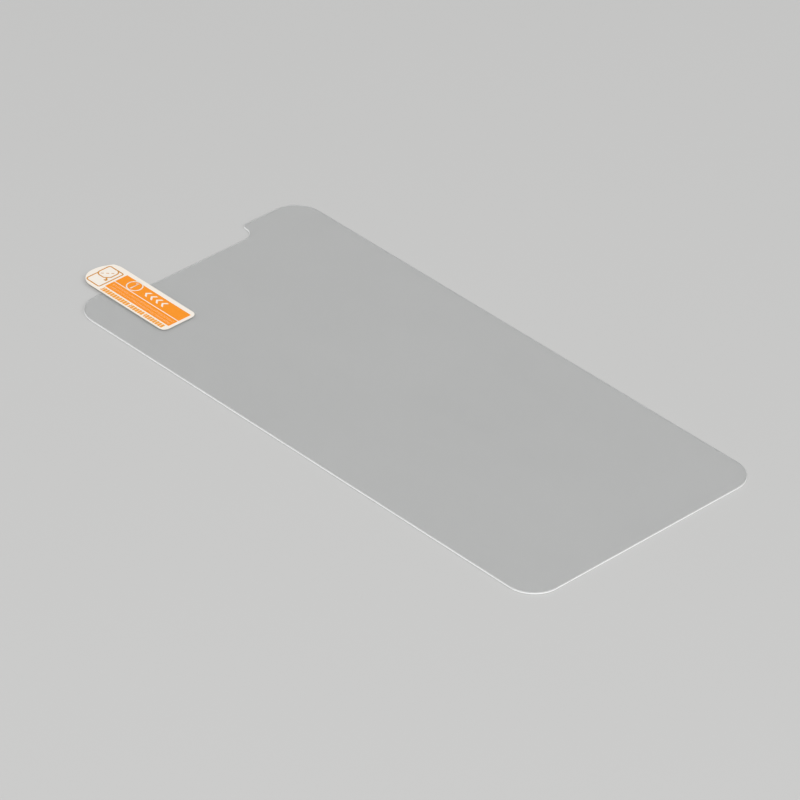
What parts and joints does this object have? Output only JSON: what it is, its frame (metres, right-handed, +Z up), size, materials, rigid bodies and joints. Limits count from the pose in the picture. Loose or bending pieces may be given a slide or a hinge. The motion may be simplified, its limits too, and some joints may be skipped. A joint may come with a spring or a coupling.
{
  "type": "phone screen protector",
  "caption": "Clear glass sheet with a notched end, lying adhesive side up under a release film, with a printed tab to peel the film; covers and guards a phone's screen.",
  "frame": {"origin": "centre of the glass sheet's outer face, which lies down", "axes": "+Y along the sheet towards its notched end, +Z up from the outer face to the adhesive face"},
  "size_m": [0.0716, 0.1597, 0.0006],
  "materials": {
    "clear_glass": "polished faces and a finely ground edge",
    "clear_film": "clear gloss, very slightly hazy",
    "printed_tab": "satin white label stock, printed in orange"
  },
  "bodies": {
    "root": {"glass_sheet": "clear_glass", "release_film": "clear_film", "pull_tab": "printed_tab"}
  },
  "joints": []
}
